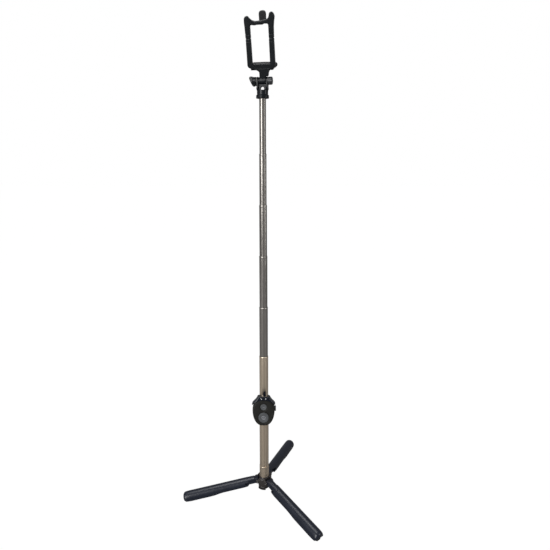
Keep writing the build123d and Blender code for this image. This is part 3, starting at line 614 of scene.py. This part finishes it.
# ---------------------------------------------------------------------------
# phone holder
# ---------------------------------------------------------------------------
WB, WT, PU = 18.9, 59.3, 13.2
lj = Poly([(0, WB), (9.4, WB), (10.2, WB + 0.5), (10.4, WB + 1.6), (10.4, 44.8), (16.0, 44.8), (16.2, 22), (16.3, 17.0), (15.4, 15.2),
           (13.6, 13.9), (11.2, 12.9), (9.4, 11.4), (8.2, 9.4), (7.7, 7.2), (7.6, 5.2), (4.3, 5.0), (4.3, 3.0), (-2.2, 3.0), (-1.9, 6.0), (-2.2, 8.4), (-3.4, 10.4),
           (-5.6, 11.8), (-9.0, 12.8), (-13.4, 14.0), (-15.4, 15.2), (-16.3, 17.0), (-16.2, 22), (-16.0, 44.8), (-10.4, 44.8), (-10.4, WB + 1.6),
           (-10.2, WB + 0.5), (-9.4, WB)], 0.35)
web = Poly([(1.0, 4.2), (3.6, 4.6), (9.0, 8.0), (19.0, 11.0), (19.0, 12.2), (1.0, 12.2)], 0.3)
lip = Poly(both([(0, 17.5), (12.6, 17.3), (14.8, 16.5), (15.8, 14.8), (15.6, 13.0), (14.0, 11.6), (11.0, 11.0), (0, 11.0)]), 0.3)


def f_lower(P):
    x, y, z = P[:, 0], P[:, 1], P[:, 2]
    d = rnd(lj(x, z), np.abs(y + 0.1) - 2.9, 1.0)
    # collars round the posts stand slightly proud
    d = smin(d, dcyl(P, 0, (0, 0), 3.9, -4.35, 4.35, 0.4), 1.2)
    d = smin(d, rnd(web(y, z), np.abs(x) - 3.6, 0.5), 1.6)
    d = cut(d, dcyl(P, 0, (0, 0), 1.95, -9, 9, 0.1), 0.25)
    # sunk panel in the front face of the bar
    pan = rnd(lj(x, z) + 2.2, np.abs(y + 3.6) - 0.9, 0.2)
    pan = np.maximum(pan, np.maximum(np.abs(x) - 9.2, 13.6 - z))
    d = cut(d, pan, 0.4)
    for sx in (-1, 1):
        d = cut(d, dcyl(P, 2, (sx * PU, -0.1), 2.47, 15.4, 60, 0.1), 0.15)
        d = cut(d, np.hypot(rnd(np.abs(x - sx * PU) - 2.8, np.abs(y + 0.1) - 2.9, 1.0), z - 41.6) - 0.25, 0.12)
    return d


def f_claw_low(P):
    d = dbox(P, -13.2, 13.2, 1.0, 18.0, 11.4, 13.6, 0.5)
    return smin(d, rnd(lip(P[:, 0], P[:, 2]), np.abs(P[:, 1] - 18.3) - 1.7, 0.8), 1.5)


# the claw's lip and floor are one moulding with the jaw, in a lighter shade
carve("lower_jaw_frame", f_lower, (-18, -6, -6), (18, 21, 46.5), 0.22, HOLD, "holder", "black_plastic", M["black"], "lower_jaw")
carve("lower_jaw_claw", lambda P: cut(f_claw_low(P), f_lower(P) - 0.02, 0.1), (-17, 0, 9.5), (17, 22, 19), 0.22, HOLD, "holder", "button_grey", M["claw"])


def f_lpad(P):
    x, y, z = P[:, 0], P[:, 1], P[:, 2]
    d = smin(dbox(P, -12.4, 12.4, 15.7, 16.6, 13.6, 17.0, 0.3), dbox(P, -12.4, 12.4, 3.6, 15.9, 13.55, 14.3, 0.3), 0.3)
    w = np.abs((x / 1.5) % 1 - 0.5) * 1.5
    return smax(d, -np.maximum(w - 0.25, np.minimum(y - 16.0 + 0 * y, 99) * 1.0 if False else np.maximum(y - 15.95, 14.6 - z)), 0.15)


carve("lower_jaw_grip", f_lpad, (-14, 2, 12.5), (14, 18, 18.5), 0.2, HOLD, "holder", "rubber_grey", M["grip"], "lower_jaw_pad")
uj = Poly([(0, WT - 0.4), (4.0, WT), (9.0, WT), (10.2, WT - 0.6), (10.4, WT - 2.0), (10.4, 45.0), (16.0, 45.0), (16.2, 56), (16.8, 61.5),
           (17.6, 64.5), (17.4, 66.8), (16.4, 69.0), (14.8, 70.4), (13.0, 70.4), (11.8, 69.0), (11.3, 66.5), (10.4, 64.6), (8.0, 63.6), (3.4, 62.7), (0, 62.3), (-5.0, 62.0),
           (-8.2, 62.9), (-10.8, 65.0), (-12.2, 66.8), (-13.6, 67.3), (-15.2, 66.8), (-16.4, 65.0), (-16.6, 61.5), (-16.3, 56), (-16.0, 45.0), (-10.4, 45.0),
           (-10.4, WT - 2.4), (-10.0, WT - 1.2), (-8.0, WT - 1.0), (-5.0, 57.9), (-2.0, 58.4)], 0.35)
clip_p = Poly(both([(0, 58.6), (4.0, 58.6), (4.1, 66.8), (3.7, 68.8), (2.4, 70.1), (0, 70.4)]), 0.3)


def f_upper(P):
    x, y, z = P[:, 0], P[:, 1], P[:, 2]
    d = rnd(uj(x, z), np.abs(y + 0.1) - 2.9, 1.0)
    d = smin(d, dbox(P, -3.9, 3.9, 1.0, 23.0, 58.6, 60.9, 0.5), 0.8)
    for sx in (-1, 1):
        d = cut(d, dcyl(P, 2, (sx * PU, -0.1), 1.13, 40, 57, 0.1), 0.15)
        d = cut(d, dcyl(P, 2, (sx * PU, -0.1), 2.5, 40, 51.2, 0.1), 0.15)
        d = cut(d, np.hypot(rnd(np.abs(x - sx * PU) - 2.8, np.abs(y + 0.1) - 2.9, 1.0), z - 49.2) - 0.25, 0.12)
        # finger scallops on the outer flank of each horn
        for k in range(3):
            d = cut(d, np.hypot(x - sx * 17.6, z - 60.8 - 1.7 * k) - 0.75 + np.maximum(np.abs(y + 0.1) - 2.0, 0) * 0.6, 0.3)
    return d


carve("upper_jaw_frame", f_upper, (-19, -5, 44), (20, 25, 73), 0.22, HOLD, "sliding_jaw", "black_plastic", M["black"], "upper_jaw")
carve("upper_jaw_claw", lambda P: rnd(clip_p(P[:, 0], P[:, 2]), np.abs(P[:, 1] - 24.0) - 2.0, 0.8), (-6, 20, 57), (6, 28, 72.5), 0.18, HOLD, "sliding_jaw", "button_grey", M["claw"])


def f_upad(P):
    x, y, z = P[:, 0], P[:, 1], P[:, 2]
    d = smin(dbox(P, -3.3, 3.3, 21.2, 22.05, 60.9, 69.3, 0.3), dbox(P, -3.3, 3.3, 3.6, 22.0, 57.85, 58.65, 0.3), 0.2)
    w = np.abs((x / 1.3) % 1 - 0.5) * 1.3
    return smax(d, -np.maximum(np.maximum(w - 0.2, y - 21.5), 61.2 - z), 0.12)


carve("upper_jaw_grip", f_upad, (-5, 2, 56.5), (5, 24, 71), 0.18, HOLD, "sliding_jaw", "rubber_grey", M["grip"], "upper_jaw_pad")
for sx, nm in ((-1, "left"), (1, "right")):
    c = (sx * PU, -0.1)
    prof = [(2.2, 15.4), (2.45, 15.7), (2.45, 20), (2.45, 30), (2.45, 40), (2.45, 49.6), (2.5, 49.9), (2.5, 50.3), (2.4, 50.65), (2.2, 50.8), (2.1, 50.6), (2.1, 49.0), (2.1, 16.0), (2.2, 15.4)]
    turned("post_tube_%s_turned" % nm, [lathe(prof, HOLD, 2, c, 48)], HOLD, "holder", "dark_steel", M["dark"], "post_tube_%s" % nm)
    prof = [(1.0, 16.4), (1.2, 16.6), (1.2, 17.3), (1.1, 17.5), (1.1, 30), (1.1, 45), (1.1, 56.8), (0.9, 57.0)]
    turned("slide_rod_%s_turned" % nm, [lathe(prof, HOLD, 2, c, 40)], HOLD, "sliding_jaw", "steel", M["steel"], "slide_rod_%s" % nm)

# ---------------------------------------------------------------------------
# remote
# ---------------------------------------------------------------------------
EGG = [(0, -18.5), (5.2, -17.9), (9.2, -15.4), (12.0, -11.4), (13.9, -6.7), (14.9, -1.7), (15.2, 3.5), (14.8, 7.5), (13.4, 11.2),
       (10.9, 14.5), (7.6, 17.2), (3.8, 18.9), (0, 19.5)]
egg = Poly(rounded_spline(EGG + [(-x, y) for x, y in reversed(EGG[1:-1])]), 0.0, 0.12)
T, SR, LR, SL, LL = 5.0, 4.3, 6.85, 7.1, -7.3


def f_front(P):
    x, y, z = P[:, 0], P[:, 1], P[:, 2]
    e = egg(x, y)
    d = rnd(e, np.abs(z) - T, 2.1)
    d = smax(d, 0.06 - z, 0.35)
    for r, l in ((SR, SL), (LR, LL)):
        q = np.hypot(x, y - l)
        d = cut(d, np.maximum(q - r - 0.16, 2.0 - z), 0.25)
        # shallow bezel round each button
        d = cut(d, np.hypot(q - r - 0.7, z - T - 0.25) - 0.55, 0.3)
    # sunk line that frames the face
    d = cut(d, np.hypot(e + 2.7, z - T - 0.02) - 0.22, 0.12)
    d = cut(d, np.maximum(np.hypot(x, y - 14.0) - 0.64, 2 - z), 0.15)
    d = cut(d, dbox(P, 13.0, 20, 0.8, 10.2, -1.5, 1.5, 0.3), 0.25)
    return cut(d, rnd(e + 1.2, np.abs(z) - 3.8, 0.3), 0.2)


def f_rear(P):
    x, y, z = P[:, 0], P[:, 1], P[:, 2]
    e = egg(x, y)
    d = rnd(e, np.abs(z) - T, 2.1)
    d = smax(d, z + 0.06, 0.35)
    # battery door outline
    q = np.hypot(x, y + 2.0)
    d = cut(d, np.hypot(q - 11.4, z + T) - 0.25, 0.12)
    d = cut(d, dbox(P, -2.8, 2.8, -10.6, -9.7, -6, -T + 0.7, 0.2), 0.2)
    for yy in (-15.6, 16.2):
        d = cut(d, dcyl(P, 2, (0, yy), 1.35, -7, -T + 0.8, 0.1), 0.2)
    d = cut(d, dbox(P, 13.0, 20, 0.8, 10.2, -1.5, 1.5, 0.3), 0.25)
    return cut(d, rnd(e + 1.2, np.abs(z) - 3.8, 0.3), 0.2)


carve("remote_face", f_front, (-18, -24, -1.5), (18, 27, 7), 0.24, REM, "remote", "remote_plastic", M["remote"], "remote_front_shell")
carve("remote_back", f_rear, (-18, -24, -7), (18, 27, 1.5), 0.24, REM, "remote", "remote_plastic", M["remote"], "remote_rear_shell")


def disc(r, l, prof):
    return lathe([(rr, zz) for rr, zz in prof], REM, 2, (0, l), 96)


h = T + 0.7
turned("small_button_cap", [disc(SR, SL, [(SR + 0.55, 2.5), (SR + 0.6, 3.2), (SR, 3.35), (SR, h - 0.6), (SR - 0.12, h - 0.25), (SR - 0.4, h - 0.05), (SR - 0.8, h), (SR - 1.1, h - 0.05), (2.4, h - 0.28), (1.2, h - 0.36), (0.01, h - 0.38)])],
       REM, "small_button", "button_grey", M["button"], "remote_small_button")
turned("large_button_cap", [disc(LR, LL, [(LR + 0.55, 2.5), (LR + 0.6, 3.2), (LR, 3.35), (LR, h - 0.6), (LR - 0.12, h - 0.25), (LR - 0.4, h - 0.04), (LR - 0.9, h), (LR - 1.35, h - 0.05), (LR - 1.5, h - 0.28), (LR - 1.75, h - 0.30),
                                          (LR - 1.95, h - 0.12), (4.2, h - 0.14), (3.4, h - 0.3), (2.0, h - 0.42), (0.01, h - 0.46)])],
       REM, "large_button", "button_grey", M["button"], "remote_large_button")
# generic marks: a ring with a dot on the large button, a short bar on the small one


def f_mark_l(P):
    q = np.hypot(P[:, 0], (P[:, 1] - LL) * 1.15)
    zz = P[:, 2] - (h - 0.34)
    d = np.hypot(q - 2.3, zz) - 0.34
    return np.minimum(d, np.sqrt(P[:, 0] ** 2 + (P[:, 1] - LL) ** 2 + (zz + 0.1) ** 2) - 0.55)


carve("large_button_mark", f_mark_l, (-4, LL - 4, h - 1.3), (4, LL + 4, h + 0.6), 0.1, REM, "large_button", "button_grey", M["mark"])
carve("small_button_mark", lambda P: dbox(P, -1.3, 1.3, SL - 0.22, SL + 0.22, h - 0.7, h - 0.22, 0.15), (-2.4, SL - 1.2, h - 1.4), (2.4, SL + 1.2, h + 0.5), 0.1, REM, "small_button", "button_grey", M["mark"])


def f_switch(P):
    d = smin(dbox(P, 13.2, 14.2, 1.0, 8.0, -1.3, 1.3, 0.1), dbox(P, 13.4, 16.95, 1.0, 8.0, -1.3, 1.3, 0.4), 0.1)
    w = np.abs(((P[:, 1] - 1.5) / 1.2) % 1 - 0.5) * 1.2
    return smax(d, -np.maximum(w - 0.22, 16.55 - P[:, 0]), 0.12)


carve("side_switch", f_switch, (12.4, 0, -2.4), (18, 9, 2.4), 0.14, REM, "power_switch", "button_grey", M["button"], "remote_power_switch")

# cradle: collar and hood
arc_R = (15.6 ** 2 + 6.2 ** 2) / (2 * 6.2)


def to_rem(P):
    w = P - REM.o
    return np.stack([w @ REM.x, w @ REM.y, w @ REM.z], 1)


reflection_tongue = Poly([(-5.0, 132.0), (6.4, 132.0), (4.6, 138.5), (3.1, 142.5), (1.9, 146.5), (1.2, 149.8), (-0.1, 149.8), (-0.8, 146.5), (-2.0, 142.5), (-3.6, 138.5)], 0.15)
hood_poly = Poly(both([(0, 6.0), (15.7, 6.0), (16.2, 9.5), (15.7, 12.0), (14.2, 13.8), (12.7, 15.2), (10.9, 17.0), (9.5, 19.0), (8.5, 21.0), (7.4, 21.8), (0, 21.8)]), 0.35)


def f_cradle(P):
    Q = to_rem(P)
    e = egg(Q[:, 0], Q[:, 1])
    # the hood draws in to a neck above the remote's widest part
    shell = rnd(hood_poly(Q[:, 0], Q[:, 1]), np.abs(Q[:, 2] - 0.1) - 6.2, 2.2)
    arch = np.where(Q[:, 2] > 0, arc_R - np.hypot(Q[:, 0], Q[:, 1] - 16.5 + arc_R), 10.2 - Q[:, 1])
    shell = smax(shell, arch, 0.5)
    shell = smax(shell, 7.0 - Q[:, 1], 0.5)
    d = smin(dcyl(P, 2, (0, 0), 7.9, 126, 136.4, 0.8), shell, 1.6)
    d = smin(d, dbox(P, -5.6, 5.6, -11.5, -4.5, 126.5, 139.5, 0.6), 1.4)
    # dark tongue that runs up the front of the tube: a painted reflection, standing where the glossy tube mirrors the
    # collar
    d = smin(d, rnd(reflection_tongue(P[:, 0], P[:, 2]), np.abs(P[:, 1] + 7.0) - 1.5, 0.3), 0.6)
    room = rnd(e - 0.22, np.abs(Q[:, 2]) - 5.2, 2.1)
    room = np.minimum(room, np.maximum(np.maximum(Q[:, 1] - 2.0, np.abs(Q[:, 0]) - 16.6), np.abs(Q[:, 2]) - 5.2))
    d = cut(d, room, 0.35)
    # two moulded lines over the crown of the hood
    for sx in (-1, 1):
        d = cut(d, np.hypot(Q[:, 0] - sx * 6.0 + sx * np.maximum(Q[:, 1] - 14, 0) * 0.25, Q[:, 2] - 6.35) - 0.3 + np.maximum(0, 15 - Q[:, 1]), 0.2)
    return cut(d, np.hypot(P[:, 0], P[:, 1]) - 6.56, 0.2)


carve("cradle_body", f_cradle, (-19.5, -33, 123), (19.5, 10, 155), 0.26, MAST, "mast_1", "black_plastic", M["hood"], "remote_cradle")
# painted highlights: two bright steel studs on the hood crown stand where the hood shows two glints
highlight_dots = []
for sx in (-1, 1):
    prof = [(0.95, 5.9), (0.95, 6.35), (0.85, 6.55), (0.6, 6.75), (0.3, 6.83), (0.01, 6.85)]
    highlight_dots.append(lathe(prof, REM, 2, (sx * 2.8, 18.6), 32))
turned("cradle_highlight_studs", highlight_dots, REM, "mast_1", "steel", M["steel"])

# ---------------------------------------------------------------------------
# floor, light and camera
# ---------------------------------------------------------------------------
fl = bpy.data.meshes.new("floor")
fl.from_pydata([(-6, -6, 0), (6, -6, 0), (6, 6, 0), (-6, 6, 0)], [], [(0, 1, 2, 3)])
floor = bpy.data.objects.new("floor", fl)
bpy.context.scene.collection.objects.link(floor)
fm = bpy.data.materials.new("pale_floor")
fm.use_nodes = True
fm.node_tree.nodes["Principled BSDF"].inputs["Base Color"].default_value = (0.01, 0.01, 0.01, 1)
fm.node_tree.nodes["Principled BSDF"].inputs["Roughness"].default_value = 0.9
fm.node_tree.nodes["Principled BSDF"].inputs["Specular IOR Level"].default_value = 0.0
fm.node_tree.nodes["Principled BSDF"].inputs["Emission Color"].default_value = (1, 1, 1, 1)
fm.node_tree.nodes["Principled BSDF"].inputs["Emission Strength"].default_value = 1.0
fglow = fm.node_tree.nodes.new("ShaderNodeBsdfDiffuse")
fglow.inputs["Color"].default_value = (0.25, 0.25, 0.25, 1)
fmix = fm.node_tree.nodes.new("ShaderNodeMixShader")
fpath = fm.node_tree.nodes.new("ShaderNodeLightPath")
fm.node_tree.links.new(fpath.outputs["Is Camera Ray"], fmix.inputs["Fac"])
fm.node_tree.links.new(fglow.outputs["BSDF"], fmix.inputs[1])
fm.node_tree.links.new(fm.node_tree.nodes["Principled BSDF"].outputs["BSDF"], fmix.inputs[2])
fm.node_tree.links.new(fmix.outputs["Shader"], fm.node_tree.nodes["Material Output"].inputs["Surface"])
floor.data.materials.append(fm)

w = bpy.data.worlds.new("studio")
bpy.context.scene.world = w
w.use_nodes = True
w.node_tree.nodes["Background"].inputs["Color"].default_value = (1, 1, 1, 1)
w.node_tree.nodes["Background"].inputs["Strength"].default_value = 1.0
dim = w.node_tree.nodes.new("ShaderNodeBackground")
dim.inputs["Color"].default_value = (1.0, 1.0, 1.0, 1)
dim.inputs["Strength"].default_value = 0.22
wmix = w.node_tree.nodes.new("ShaderNodeMixShader")
wpath = w.node_tree.nodes.new("ShaderNodeLightPath")
w.node_tree.links.new(wpath.outputs["Is Camera Ray"], wmix.inputs["Fac"])
w.node_tree.links.new(dim.outputs["Background"], wmix.inputs[1])
w.node_tree.links.new(w.node_tree.nodes["Background"].outputs["Background"], wmix.inputs[2])
w.node_tree.links.new(wmix.outputs["Shader"], w.node_tree.nodes["World Output"].inputs["Surface"])


def area(name, loc, target, size, size_y, power):
    L = bpy.data.lights.new(name, "AREA")
    L.shape, L.size, L.size_y, L.energy = "RECTANGLE", size, size_y, power
    o = bpy.data.objects.new(name, L)
    bpy.context.scene.collection.objects.link(o)
    o.location = loc
    o.rotation_euler = (Vector(target) - Vector(loc)).to_track_quat("-Z", "Y").to_euler()
    return o


area("key", (-0.9, -1.3, 0.9), (0, 0, 0.3), 0.9, 1.3, 26)
area("side", (1.2, -0.5, 0.7), (0, 0, 0.32), 0.25, 1.2, 5)
area("top", (-0.2, 0.3, 1.7), (0, 0, 0.2), 0.8, 0.8, 10)

cam = bpy.data.cameras.new("camera")
co = bpy.data.objects.new("camera", cam)
bpy.context.scene.collection.objects.link(co)
cam.sensor_width = 36
cam.lens = 460 / 550 * 36
co.location = Vector(S + np.array([15.2, -581.4, 472.4]) / 1000)
co.rotation_euler = (math.radians(90 - 15.18), 0, 0)
co.rotation_euler.rotate_axis("Z", math.radians(0.13))
bpy.context.scene.camera = co
bpy.context.scene.view_settings.view_transform = "Standard"
